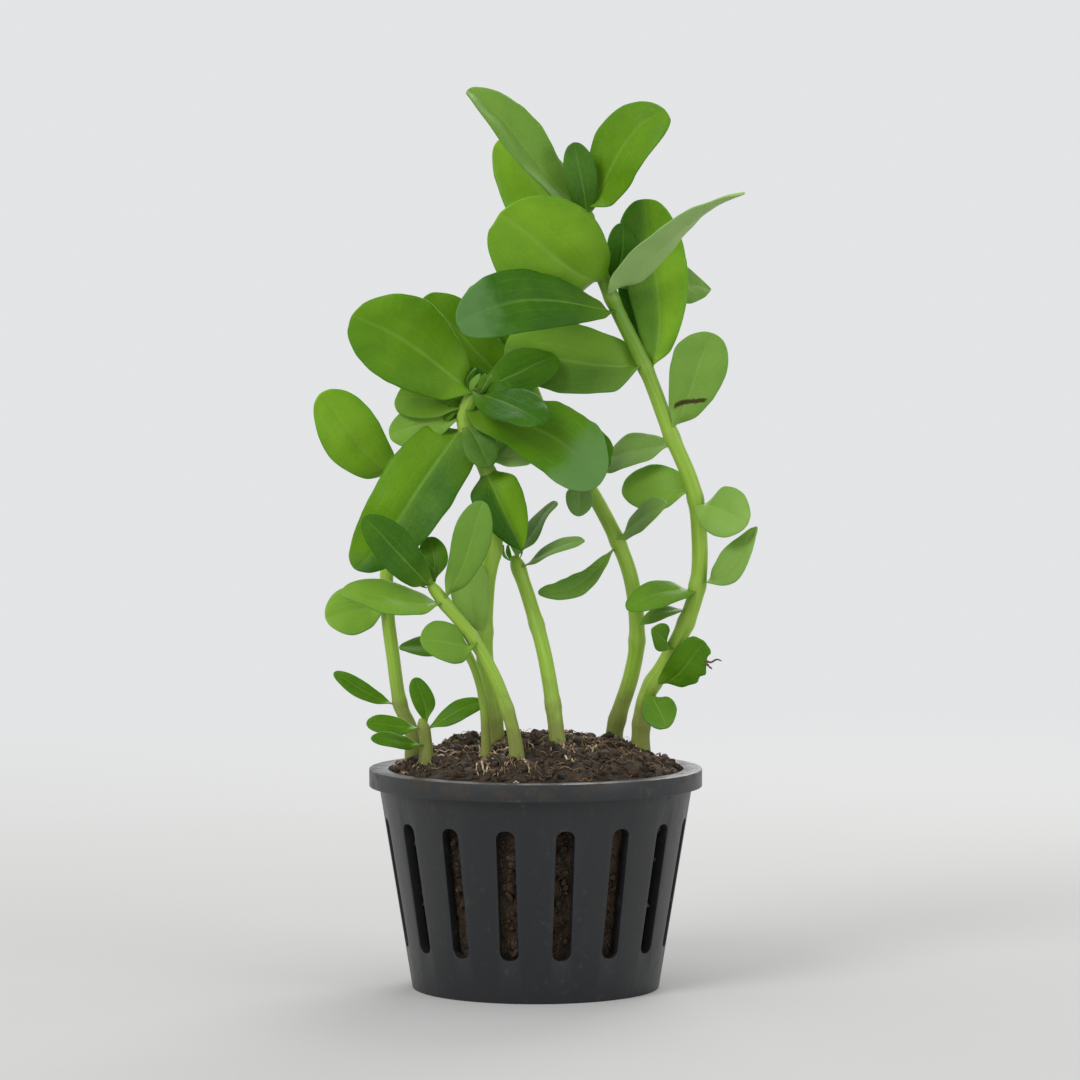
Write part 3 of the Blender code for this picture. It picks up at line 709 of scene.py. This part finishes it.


# Leaves: thick soft leaves in pairs, without stalks, each with its broad base wrapped round the stem. A
# groove runs down the middle of the upper side and a ridge under it, and fainter veins run beside it from
# base to tip.
#
# A leaf's values are its height on the stem, its tip, its width, the way its upper side faces (degrees
# turned from the front to the right, and raised) and its tone from dark to bright, partly its own colour
# and partly painted light and shade. Then come how far it arches up and bends aside in the middle, the
# degrees by which its halves fold up, how far along it is widest, how wide its base is as a share of that,
# the degrees by which it twists, and how pointed its tip is (0.5 is round, less is blunt). The last are how
# much painted milky sheen stands in for the light's reflection on its wax, how much paler one half of it
# is painted than the other as painted light and shade, how far along it a painted blue-green sheen begins
# in place of a glossy reflection, and how ragged its margin is.
Leaf = namedtuple(
    "Leaf",
    "name height tip width faces tone arch bend fold widest base twist point dull half bloom ragged",
    defaults=(0.6, 0, 7, 0.52, 0.4, 0, 0.5, 0, 0, 1.4, 0),
)
# painted light and shade: a tone is lowered where a leaf stands in shade and raised to light up a shadowed
# one
LEAVES = [
    Leaf("tall_leaf_01", 108.2, (-9.5, -5, 124.4), 9.2, (38, 34), 0.5, 1.3, 0.7, 17, point=0.45, dull=0.15),
    Leaf("tall_leaf_02", 101.8, (-4.8, 7, 118.4), 10.7, (0, 25), 0.9, arch=0.8, widest=0.45, dull=0.05),
    Leaf("tall_leaf_03", 108.3, (17.9, -6, 121.7), 10.4, (-20, 30), 0.5, 1.0, -2.1, widest=0.48, point=0.42,
         half=0.05),
    Leaf("tall_leaf_04", 108.0, (5.2, -4.4, 117.4), 4.9, (10, 10), 0.1, arch=0.3, dull=0.05),
    Leaf("tall_leaf_05", 98.6, (-4.9, -9, 107.6), 15.9, (0, -14), 0.78, 2.4, 0.8, 9, 0.5, 0.42, point=0.38,
         dull=0.05, half=0.1),
    Leaf("tall_leaf_06", 94.4, (-10.7, -18, 92.6), 9.5, (0, 15), 0.06, 3.1, 2.1, 7, 0.66, 0.16, point=0.38,
         bloom=0.78),
    Leaf("tall_leaf_07", 96.8, (28.4, -14, 110.3), 8.5, (-145, 52), 0.9, 1.9, 0, 10, 0.3, 0.6, -25, 0.8,
         dull=0.72),
    Leaf("tall_leaf_08", 98.0, (25.0, 20.6, 97.2), 6.8, (45, 20), 0.5, base=0.22, point=0.95, dull=0.1),
    Leaf("tall_leaf_09", 86.0, (15.3, 3.9, 109.8), 9.4, (5, 5), 0.6, 0.3, -0.3, 8, 0.62, 0.3, point=0.42,
         dull=0.04, half=0.36),
    Leaf("tall_leaf_10", 86.8, (-4.4, 3, 88.8), 11.5, (0, 15), 0.48, 1.0, 0, 22, 0.5, 0.5,
         dull=0.1, half=0.24),
    Leaf("tall_leaf_11", 77.8, (24.8, 1.2, 91.1), 8.2, (10, 10), 0.55, 0.4, -0.8, widest=0.64, base=0.3,
         dull=0.2),
    Leaf("tall_leaf_12", 75.8, (9.5, 8, 72.7), 7.5, (0, 45), 0.5, arch=0.8, dull=0.3),
    Leaf("tall_leaf_13", 69.2, (12.3, 6, 69.7), 7.1, (0, 25), 1.0, arch=0.8, widest=0.45, base=0.75,
         dull=0.22),
    Leaf("tall_leaf_14", 67.2, (29.3, -6, 64.9), 7.5, (-10, 15), 0.75, widest=0.5, base=0.65, dull=0.3),
    Leaf("tall_leaf_15", 56.6, (30.7, -3, 64.5), 6.2, (-40, 30), 0.72, 0.8, 2.0, 14, 0.46, 0.3, point=1.0,
         dull=0.35),
    Leaf("tall_leaf_16", 55.2, (12.5, -6, 53.2), 4.8, (0, 40), 0.42, arch=0.8, base=0.6, dull=0.05),
    Leaf("tall_leaf_17", 52.4, (14.4, -2, 50.8), 2.8, (0, 50), 0.35, arch=0.4, point=0.9, dull=0.15),
    Leaf("tall_leaf_18", 47.4, (16.0, -5, 50.4), 4.0, (20, 10), 0.25, arch=0.3, point=0.8),
    Leaf("tall_leaf_19", 42.8, (23.4, -2, 48.5), 5.6, (10, 0), 0.28, arch=0.4, widest=0.6, ragged=0.5),
    Leaf("tall_leaf_20", 41.0, (18.2, -5, 36.6), 5.0, (0, 10), 0.32, arch=0.5, dull=0.05),
    Leaf("center_leaf_1", 84.5, (-8.9, 9.6, 97.8), 7.0, (0, 10), 0.3, arch=0.8),
    Leaf("center_leaf_2", 82.8, (-15.7, 3, 96.0), 9.0, (0, 30), 0.45, arch=1.0, base=0.3),
    Leaf("center_leaf_3", 72.4, (9.2, 1, 77.6), 7.5, (0, 10), 0.15, arch=0.5, ragged=0.15),
    Leaf("center_leaf_4", 70.0, (5.8, -1, 65.8), 4.0, (0, 10), 0.15, arch=0.4, dull=0.25),
    Leaf("center_leaf_5", 62.4, (18.3, -6.2, 67.7), 5.3, (-30, 30), 0.35, twist=12, point=0.9, dull=0.25),
    Leaf("center_leaf_6", 61.4, (0.4, -1, 54.9), 3.5, (0, 30), 0.35, bend=-2.3, widest=0.66, base=0.2,
         dull=0.15, ragged=0.12),
    Leaf("rosette_leaf_1", 83.0, (-25.1, -11, 93.6), 12.8, (0, 15), 0.45, arch=1.0, bend=0.9, half=0.05),
    Leaf("rosette_leaf_2", 80.8, (8.8, -15, 70.8), 11.6, (15, 30), 0.3, 1.5, -1.6, 7, 0.55, 0.4, point=0.36,
         bloom=0.72, ragged=0.05),
    Leaf("rosette_leaf_3", 84.1, (2.9, 0.3, 87.7), 7.1, (0, 35), 0.14, arch=0.8, base=0.22),
    Leaf("rosette_leaf_4", 83.2, (1.0, -19, 79.0), 7.6, (10, 36), 0.02, arch=0.8, fold=4),
    Leaf("rosette_leaf_5", 78.0, (-24.8, -8.5, 58.8), 11.0, (0, 20), 0.34, 1.5, -1.6, 14, 0.34, 0.72,
         half=0.26, bloom=0.97),
    Leaf("rosette_leaf_6", 80.6, (-19.3, -3, 82.3), 7.2, (0, 30), 0.6, dull=0.05),
    Leaf("rosette_leaf_7", 78.5, (-6.3, -10.2, 72.8), 4.8, (0, 30), 0.15, arch=0.4, dull=0.1),
    Leaf("rosette_leaf_8", 72.0, (-1.9, -8, 61.4), 7.2, (10, -5), 0.32, widest=0.26, base=0.85, point=0.8,
         half=-0.4),
    Leaf("short_leaf_1", 60.4, (3, -1.5, 67.8), 5.8, (-55, 30), 0.3, twist=20, dull=0.2),
    Leaf("short_leaf_2", 58.6, (6.8, -6, 62.6), 5.0, (0, 65), 0.4, point=0.7, dull=0.3),
    Leaf("left_leaf_1", 71.2, (-29.9, -2, 82.8), 8.7, (0, 10), 1.05, arch=0.8, dull=0.06),
    Leaf("left_leaf_2", 70.8, (-12, 10, 76), 8.0, (0, 30), 0.25, arch=0.8),
    Leaf("left_leaf_3", 53.0, (-29.2, -2, 51.6), 7.0, (0, 15), 1.0, base=0.5, dull=0.18),
    Leaf("left_leaf_4", 39.6, (-28.2, 1, 43.8), 2.6, (0, 30), 0.3, arch=0.4, twist=20),
    Leaf("front_leaf_1", 57.2, (-23.3, -18.6, 66.4), 6.0, (0, 25), 0.06, arch=0.8),
    Leaf("front_leaf_2", 57.0, (-14.4, -9, 63.3), 4.0, (0, 20), 0.25, arch=0.4),
    Leaf("front_leaf_3", 54.6, (-26.4, -15, 56.0), 6.5, (0, 50), 0.72, arch=0.8, base=0.5, dull=0.12),
    Leaf("front_leaf_4", 54.8, (-7.1, -14, 68.4), 5.4, (0, 5), 0.45, widest=0.6, dull=0.15),
    Leaf("front_leaf_5", 48.9, (-15.6, -18, 49.7), 6.5, (0, 25), 0.55, base=0.5, dull=0.12),
    Leaf("thin_leaf", 48.2, (-18.8, -8, 48.0), 5.0, (0, 60), 0.3, arch=0.5, point=0.7),
    Leaf("basal_leaf_1", 37.5, (-16.6, -7, 43.8), 3.2, (0, 5), 0.25, arch=0.3),
    Leaf("basal_leaf_2", 37.0, (-23.3, -9, 37.6), 3.2, (0, 30), 0.3, arch=0.4),
    Leaf("basal_leaf_3", 34.6, (-22.4, -13.4, 36.0), 2.6, (0, 30), 0.25, arch=0.3),
    Leaf("basal_leaf_4", 36.6, (-7.0, -5.6, 40.4), 3.4, (0, 40), 0.28, arch=0.9),
]
TIP_ROW = 0.36  # width of the last row of points, which runs over the leaf's tip
SPREAD = 0.5  # how strongly a leaf starts straight out from its stem before it turns to its tip
LEAF_THICKNESS = 0.52
CLASP = 1.8  # how far along the leaf its base stays wrapped round the stem
WRAP = 1.3  # how far round the stem the base reaches at most, in radians
STEM_ROOM = 0.2  # between a leaf and a stem that it passes
FOLD_ROUNDING = 0.3  # how round the fold along the midrib is
CUPPING = 0.45  # how far the halves of a leaf 10 mm wide bulge up
WAVES = 0.3  # how far the margin of a leaf 10 mm wide waves up and down
DENTS = 0.22
MARGIN_TEETH = 0.03  # how uneven a whole margin is, as a share of the half width
MARGIN_THINNING = 0.55
TIP_THINNING = 0.25
GROOVE_DEPTH = 0.12
GROOVE_WIDTH = 0.34
RIDGE_HEIGHT = 0.26
RIDGE_WIDTH = 0.5
SCARRED_LEAF = "tall_leaf_11"


def stem_of(leaf):
    return "stem_" + leaf.name.split("_leaf")[0]


def clear_of_stems(place, thickness):
    """The place, moved straight away from the axis of any stem that a leaf through it would be too near."""
    for name, route in ROUTES.items():
        for start, end in zip(route[::7], route[7::7]):
            if abs(place.z - (start.z + end.z) / 2) > 8:
                continue
            _, share = geometry.intersect_point_line(place, start, end)
            nearest = start.lerp(end, min(1, max(0, share)))
            away = place - nearest
            least = stem_radius(name, nearest.z) + STEM_ROOM + thickness / 2
            if away.length < least:
                place = nearest + away.normalized() * least
    return place


def half_width(leaf, far):
    """The leaf's half width at this share of its length, as a share of its widest."""
    if far < leaf.widest:
        return leaf.base + (1 - leaf.base) * math.sin(math.pi / 2 * far / leaf.widest)
    past = (far - leaf.widest) / (1 - leaf.widest)
    return max(0, 1 - past * past) ** leaf.point


def outline_end(leaf, share):
    """How far along it the leaf, past its widest, has narrowed to this share of its width."""
    return leaf.widest + (1 - leaf.widest) * math.sqrt(max(0, 1 - share ** (1 / leaf.point)))


def smooth_step(value):
    value = min(1, max(0, value))
    return value * value * (3 - 2 * value)


def facing(leaf):
    """The direction that the leaf's upper side faces."""
    turned, raised = (math.radians(angle) for angle in leaf.faces)
    level = math.cos(raised)
    return Vector((math.sin(turned) * level, -math.cos(turned) * level, math.sin(raised)))


def leaf_points(leaf, rows, columns):
    """Each point of the leaf's grid: its place, far, aside, and how many millimetres across it stands.

    far runs from 0 at the base to 1 at the tip, and aside from -1 to 1 between the margins.
    """
    axis, along, radius = on_stem(stem_of(leaf), leaf.height)
    tip = Vector(leaf.tip)
    outward = ((tip - axis) - (tip - axis).dot(along) * along).normalized()
    base = axis + outward * (radius * 0.8)
    chord = tip - base
    length = chord.length
    side_at_base = chord.cross(facing(leaf)).normalized()
    upper_at_base = side_at_base.cross(chord).normalized()
    round_stem = along.cross(outward)
    if round_stem.dot(side_at_base) < 0:
        round_stem = -round_stem
    half = leaf.width / 2
    big = leaf.width / 10
    phase = chance.uniform(0, math.tau)
    shift = Vector((chance.uniform(0, 50), chance.uniform(0, 50), 0))
    clasp = min(0.4, CLASP / length)
    grid = {}
    for row in range(rows + 1):
        share = row / rows
        share = 0.35 * share + 0.65 * (0.5 - 0.5 * math.cos(math.pi * share))
        margin = share * outline_end(leaf, TIP_ROW)
        reach = half_width(leaf, margin) * half
        turn = math.radians(leaf.twist) * margin
        side = side_at_base * math.cos(turn) + upper_at_base * math.sin(turn)
        upper = upper_at_base * math.cos(turn) - side_at_base * math.sin(turn)
        for column in range(columns + 1):
            aside = column / columns * 2 - 1
            aside = 0.6 * aside + 0.4 * aside * abs(aside)
            off_midrib = abs(aside)
            far = share * outline_end(leaf, TIP_ROW * off_midrib)
            grown = smooth_step(3 * far)
            teeth = noise.noise(Vector((far * 9, aside, 0)) + shift)
            teeth += 0.5 * noise.noise(Vector((far * 23, aside, 5)) + shift)
            across = aside * reach * (1 + (MARGIN_TEETH + leaf.ragged) * teeth * off_midrib ** 3)
            slope = math.radians(leaf.fold) * smooth_step(4 * far)
            middle = 4 * far * (1 - far)
            start = SPREAD * length * far * (1 - far) ** 2
            centre = base + chord * far + outward * start + upper * (leaf.arch * middle)
            centre += side * (leaf.bend * middle)
            raised = math.sqrt(across * across + FOLD_ROUNDING) - math.sqrt(FOLD_ROUNDING)
            raised *= math.sin(slope)
            raised += CUPPING * big * off_midrib * (1 - off_midrib) * grown
            wave = math.sin(phase + 8 * far + 2 * aside)
            raised += WAVES * big * aside * aside * wave * grown
            spot = Vector((across / 3, far * length / 3, 0)) + shift
            raised += DENTS * noise.noise(spot) * grown
            place = centre + side * (across * math.cos(slope)) + upper * raised
            held = 1 - smooth_step(far / clasp)
            if held > 0:
                out = (centre - axis).dot(outward)
                angle = WRAP * math.tanh(across / max(out, 0.5) / WRAP)
                around = outward * math.cos(angle) + round_stem * math.sin(angle)
                out = max(out, radius * (0.8 + 0.22 * abs(math.sin(angle))))
                wrapped = axis + along * (centre - axis).dot(along) + around * out
                place = place.lerp(wrapped, held)
            place = place.lerp(clear_of_stems(place, LEAF_THICKNESS), smooth_step(far / clasp - 1))
            grid[row, column] = (place, far, aside, across)
    return grid


def make_leaf(leaf):
    """A leaf as a closed mesh: a grid, shaped, given its second side and its thickness, and subdivided."""
    axis, _, _ = on_stem(stem_of(leaf), leaf.height)
    length = (Vector(leaf.tip) - axis).length
    rows = max(14, round(length * 1.6))
    columns = 2 * max(5, round(leaf.width * 0.75))
    bpy.ops.object.select_all(action="DESELECT")
    bpy.ops.mesh.primitive_grid_add(x_subdivisions=rows, y_subdivisions=columns, size=2)
    mesh = bpy.context.object.data
    mesh.uv_layers[0].name = "leaf"
    points = leaf_points(leaf, rows, columns)
    index_at = {}
    for vert in mesh.vertices:
        spot = (round((vert.co.x + 1) / 2 * rows), round((vert.co.y + 1) / 2 * columns))
        index_at[spot] = vert.index
        vert.co = points[spot][0] * MM
    mesh.update()
    normals = [vert.normal.copy() for vert in mesh.vertices]
    for corner in mesh.uv_layers["leaf"].data:
        _, far, aside, _ = points[round(corner.uv.x * rows), round(corner.uv.y * columns)]
        corner.uv = (far, (aside + 1) / 2)
    one_side = len(mesh.vertices)
    apply_modifier("SOLIDIFY", thickness=LEAF_THICKNESS * MM, offset=0, use_even_offset=False)
    mesh = bpy.context.object.data
    upwards = 1 if sum(normals, Vector()).dot(facing(leaf)) > 0 else -1
    middle = (rows // 2, columns // 2)
    first_side = mesh.vertices[index_at[middle]].co - points[middle][0] * MM
    first_is_upper = first_side.dot(normals[index_at[middle]]) * upwards > 0
    under = mesh.attributes.new("under", "FLOAT", "POINT")
    for spot, index in index_at.items():
        place, far, aside, across = points[spot]
        out = normals[index] * upwards
        thick = LEAF_THICKNESS / 2 * min(1, 0.55 + leaf.width / 14)
        thick *= (1 - MARGIN_THINNING * abs(aside) ** 3) * (1 - TIP_THINNING * far)
        thick *= 0.4 + 0.6 * smooth_step(far * length / CLASP)
        fade = (1 - far) ** 0.6 * smooth_step(6 * far)
        groove = GROOVE_DEPTH * fade * math.exp(-((across / GROOVE_WIDTH) ** 2))
        ridge = RIDGE_HEIGHT * fade * math.exp(-((across / RIDGE_WIDTH) ** 2)) * min(1, leaf.width / 8)
        upper, lower = (index, index + one_side) if first_is_upper else (index + one_side, index)
        mesh.vertices[upper].co = (place + out * (thick - groove)) * MM
        mesh.vertices[lower].co = (place - out * (thick + ridge)) * MM
        under.data[lower].value = 1
    for key in ("tone", "half", "dull", "bloom"):
        attribute = mesh.attributes.new(key, "FLOAT", "POINT")
        attribute.data.foreach_set("value", [getattr(leaf, key)] * len(mesh.vertices))
    apply_modifier("SUBSURF", levels=1, render_levels=1)
    bpy.ops.object.shade_smooth()
    return bpy.context.object


def leaf_finish(name, scarred=False):
    """Waxy skin over soft flesh, darker at the margin, with a pale midrib and faint veins along it."""
    skin = Finish(name, Specular_IOR_Level=0.13, Subsurface_Weight=0.25, Subsurface_Scale=0.9 * MM)
    skin.set(skin.shader, {"Subsurface Radius": Vector((0.45, 1.0, 0.15))})
    flat = skin.node("UVMap", {"uv_map": "leaf"}, {})
    far = skin.node("SeparateXYZ", {}, {0: flat}, "X")
    aside = far.other("Y") * 2 - 1
    off_midrib = abs(aside)
    tone, half, dull, bloom, under = (
        skin.node("Attribute", {"attribute_name": key}, {}, "Fac")
        for key in ("tone", "half", "dull", "bloom", "under")
    )
    under = under.between(0.35, 0.65)
    clouds = skin.noise(5, 3)
    specks = skin.noise(0.5, 3, 0.6)
    net = skin.cells(1.1).between(0.12, 0)
    midrib = off_midrib.between(0.08, 0.01) * (1 - far * 0.8)
    run = far.between(0, 0.3) * far.between(1, 0.8)
    inner_vein = abs(off_midrib - run * 0.34).between(0.035, 0)
    outer_vein = abs(off_midrib - run * 0.66).between(0.03, 0)
    veins = (inner_vein | outer_vein * 0.8) * far.between(0, 0.12) * far.between(0.95, 0.6)
    # painted light and shade: the tone, and half, which paints one side of a leaf paler and the other
    # darker
    shade = tone + aside.between(-0.35, 0.35) * half * 2 - half + (clouds - 0.5) * 0.45
    # painted reflection: a blue-green sheen on the outer part of some leaves, in place of a glossy
    # reflection
    bluish_sheen = (far + (clouds - 0.5) * 0.35 + (specks - 0.5) * 0.04 - bloom).between(-0.09, 0.1)
    tint = skin.paint(
        (0.024, 0.1, 0.002),
        (shade, (0.175, 0.355, 0.006)),
        (specks.between(0.4, 0.7) * 0.06, (0.17, 0.33, 0.03)),
        (off_midrib.between(0.5, 1) * 0.22, (0.035, 0.12, 0.003)),
        (far.between(0.28, 0) * 0.35, (0.17, 0.32, 0.025)),
        (veins * 0.1, (0.18, 0.34, 0.04)),
        (net * 0.03, (0.02, 0.09, 0.01)),
        (midrib * 0.42, (0.22, 0.39, 0.07)),
        (off_midrib.between(0.95, 0.995) * 0.4, (0.025, 0.085, 0.008)),
        (under * 0.4, (0.13, 0.25, 0.045)),
        # painted sheen: a milky pale green that stands in for the light's reflection on the wax
        (dull, (0.34, 0.48, 0.19)),
        # painted reflection: the blue-green sheen
        (bluish_sheen * 0.75, (0.1, 0.21, 0.065)),
    )
    rough = 0.4 + clouds * 0.08 + specks * 0.06 + under * 0.14 + bluish_sheen * 0.08
    if scarred:
        wiggle = (skin.noise(0.8, 3) - 0.5) * 0.05
        scar = abs(far - 0.225 - aside * 0.11 + wiggle).between(0.034, 0.014)
        scar = scar * aside.between(-0.7, -0.55) * aside.between(0.85, 0.7)
        tint = skin.mix(scar * 0.92, tint, (0.035, 0.016, 0.006))
        rough = rough + scar * 0.3
    bump = skin.relief(specks, 0.02)
    bump = skin.relief(1 - veins, 0.02, bump)
    bump = skin.relief(1 - net, 0.012, bump)
    bump = skin.relief(skin.noise(1.4, 3), 0.08, bump)
    return skin.show(Base_Color=tint, Roughness=rough, Normal=bump)


skin = leaf_finish("leaf_skin")
scarred_skin = leaf_finish("leaf_skin_scarred", True)
for leaf in LEAVES:
    make_leaf(leaf)
    finish = scarred_skin if leaf.name == SCARRED_LEAF else skin
    is_bright = leaf.name.startswith(("tall", "rosette", "center"))
    join_up(leaf.name + "_blade", finish, "leaf_bright" if is_bright else "leaf_deep", leaf.name)


# Young leaves: buds of folded leaves at the tops of six stems, and small leaves between the open ones. One
# that stands in the shade low in the plant has yellowed, and it is painted brighter against that shade.
BUD_LEAVES = 4
BUD_LENGTHS = {
    "stem_tall": 3.4, "stem_center": 3.2, "stem_rosette": 3.4,
    "stem_short": 2.6, "stem_left": 3.0, "stem_front": 2.6,
}
YOUNG_LEAVES = [
    Leaf("tall_leaf_shaded", 97.4, (12.2, 1.5, 106.4), 4.8, (20, 10), 0.02, arch=0.5),
    Leaf("tall_leaf_behind", 87.5, (12.4, 6.6, 99.5), 3.8, (0, 10), 0),
    Leaf("rosette_leaf_low", 79.4, (-20.2, -4.6, 77.2), 5.6, (0, 15), 0.7, dull=0.15),
    Leaf("rosette_leaf_heart", 82.8, (-3.2, -10, 83.4), 3.6, (0, 30), 0.1),
    Leaf("rosette_leaf_inner", 82.2, (-14.2, -5, 79.2), 4.4, (0, 20), 0.3),
    Leaf("rosette_leaf_pale", 73.2, (-0.4, -6.4, 73.8), 3.6, (0, 40), 1.1, arch=0.4, dull=0.6),
    Leaf("rosette_leaf_thin", 72.6, (-3.8, -4, 77.4), 3.4, (0, 20), 0.9, dull=0.35),
    Leaf("rosette_leaf_yellowed", 50.2, (-9.4, -8.4, 60.6), 5.4, (0, 5), 1.3, widest=0.6, dull=0.35),
    Leaf("rosette_leaf_behind", 76.6, (-9.2, -2.2, 86.4), 7.4, (0, 10), 0.05),
]


def join_leaves(name, leaves):
    """The leaves as one finished piece. The last one made is the active one."""
    for leaf in leaves:
        leaf.select_set(True)
    bpy.ops.object.join()
    join_up(name, skin, "leaf_bright")


for stem, length in BUD_LENGTHS.items():
    top = STEMS[stem].points[-1][2]
    axis, along, _ = on_stem(stem, top)
    first_side = along.orthogonal().normalized()
    turn = chance.uniform(0, 90)
    leaves = []
    for i in range(BUD_LEAVES):
        is_outer = i % 2 == 1
        angle = math.radians(turn + 90 * i + chance.uniform(-12, 12))
        lean = first_side * math.cos(angle) + along.cross(first_side) * math.sin(angle)
        size = length * chance.uniform(0.8, 1.1) * (1 if is_outer else 0.75)
        tip = axis + (along + lean * (0.5 if is_outer else 0.28)).normalized() * size
        turned = math.degrees(math.atan2(-lean.x, lean.y))
        name = stem.removeprefix("stem_") + "_leaf_bud"
        leaf = Leaf(name, top - 0.5, tip, size / 2, (turned, 10), 0.45, arch=-0.3, point=0.7, dull=0.08)
        leaves.append(make_leaf(leaf))
    join_leaves(stem + "_bud", leaves)
join_leaves("young_leaves", [make_leaf(leaf) for leaf in YOUNG_LEAVES])


# Dry wisp: a brown withered thread of an old leaf, forked and thin, that clings to the ragged edge of a low
# leaf on the tall stem.
WISP_THICKNESS = 0.16
WISP = [
    (21.8, -1.1, 45.3), (22.8, -1.3, 45.4), (23.5, -1.7, 45.7), (24.3, -2, 45.5), (25.1, -2.1, 45.9),
    (25.8, -1.9, 45.7),
]
WISP_FORK = [(23.5, -1.7, 45.7), (24.0, -2, 45.0), (24.5, -2.2, 44.6)]
wisp_paths = [WISP, WISP_FORK]


def wisp_strand():
    """The next of the wisp's strands."""
    return strand(smooth_route(wisp_paths.pop(), 5), WISP_THICKNESS, 6)


withered = Finish("withered_leaf", Roughness=0.85, Specular_IOR_Level=0.2)
tint = withered.mix(withered.noise(0.6, 4).between(0.4, 0.6), (0.05, 0.045, 0.02), (0.17, 0.15, 0.075))
withered.show(Base_Color=tint)
scatter("dry_wisp", len(wisp_paths), withered.material, "leaf_deep", wisp_strand)
